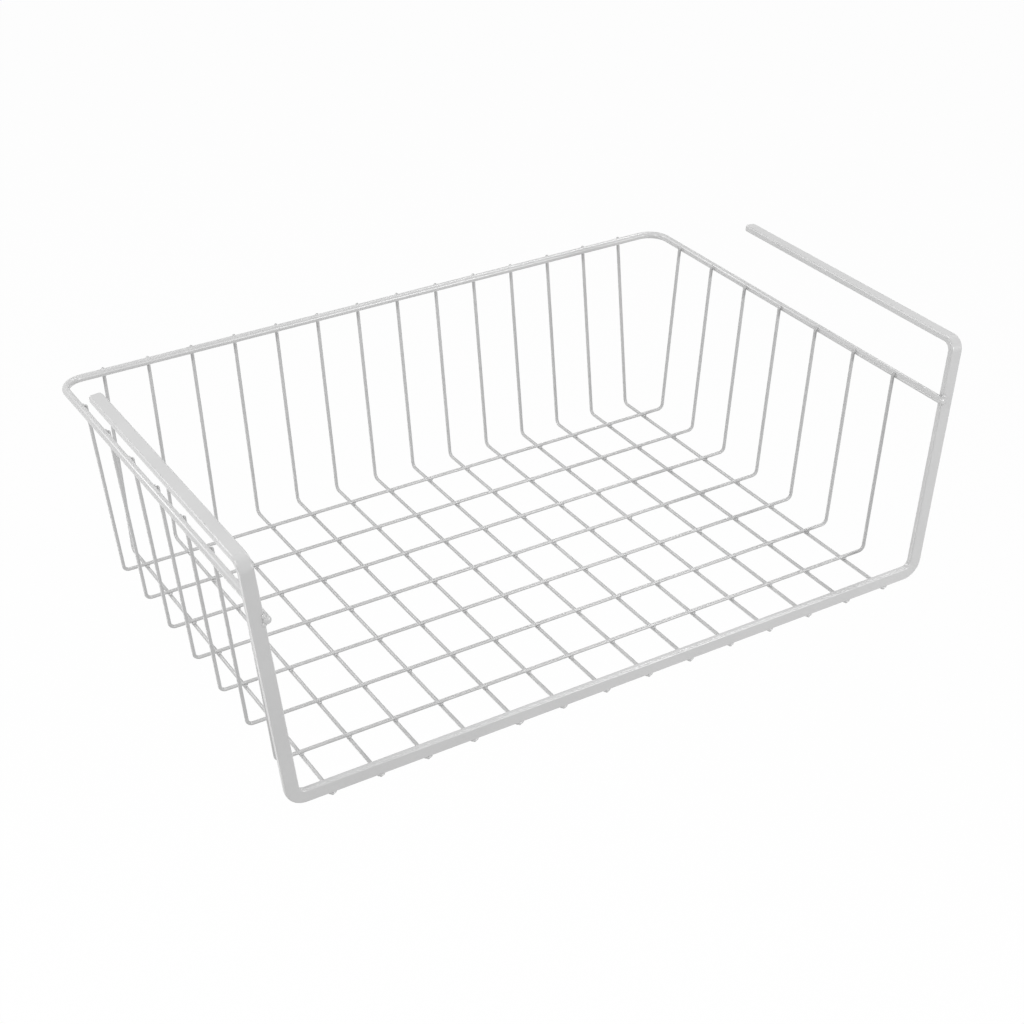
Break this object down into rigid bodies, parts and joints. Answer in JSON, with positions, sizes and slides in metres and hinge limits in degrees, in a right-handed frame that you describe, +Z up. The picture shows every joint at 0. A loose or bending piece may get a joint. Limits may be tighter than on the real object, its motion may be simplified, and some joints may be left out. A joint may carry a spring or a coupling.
{
  "type": "under-shelf basket",
  "caption": "Open-front wire basket on a flat-bar frame whose two arms slide over a shelf board, so that the basket hangs below the shelf.",
  "frame": {"origin": "middle of the footprint, on the plane that the floor wires stand on", "axes": "+X to the right seen from the front, +Y to the back wall, +Z up; the open front faces -Y"},
  "size_m": [0.3976, 0.2618, 0.1396],
  "materials": {
    "coated_steel": "satin silver-grey coating on steel"
  },
  "bodies": {
    "root": {"front_frame": "coated_steel", "rim_rod": "coated_steel", "floor_wire_01": "coated_steel", "floor_wire_02": "coated_steel", "floor_wire_03": "coated_steel", "floor_wire_04": "coated_steel", "floor_wire_05": "coated_steel", "floor_wire_06": "coated_steel", "floor_wire_07": "coated_steel", "floor_wire_08": "coated_steel", "floor_wire_09": "coated_steel", "floor_wire_10": "coated_steel", "floor_wire_11": "coated_steel", "floor_wire_12": "coated_steel", "floor_wire_13": "coated_steel", "floor_wire_14": "coated_steel", "cross_wire_1": "coated_steel", "cross_wire_2": "coated_steel", "cross_wire_3": "coated_steel", "cross_wire_4": "coated_steel", "cross_wire_5": "coated_steel", "cross_wire_6": "coated_steel", "cross_wire_7": "coated_steel"}
  },
  "joints": []
}
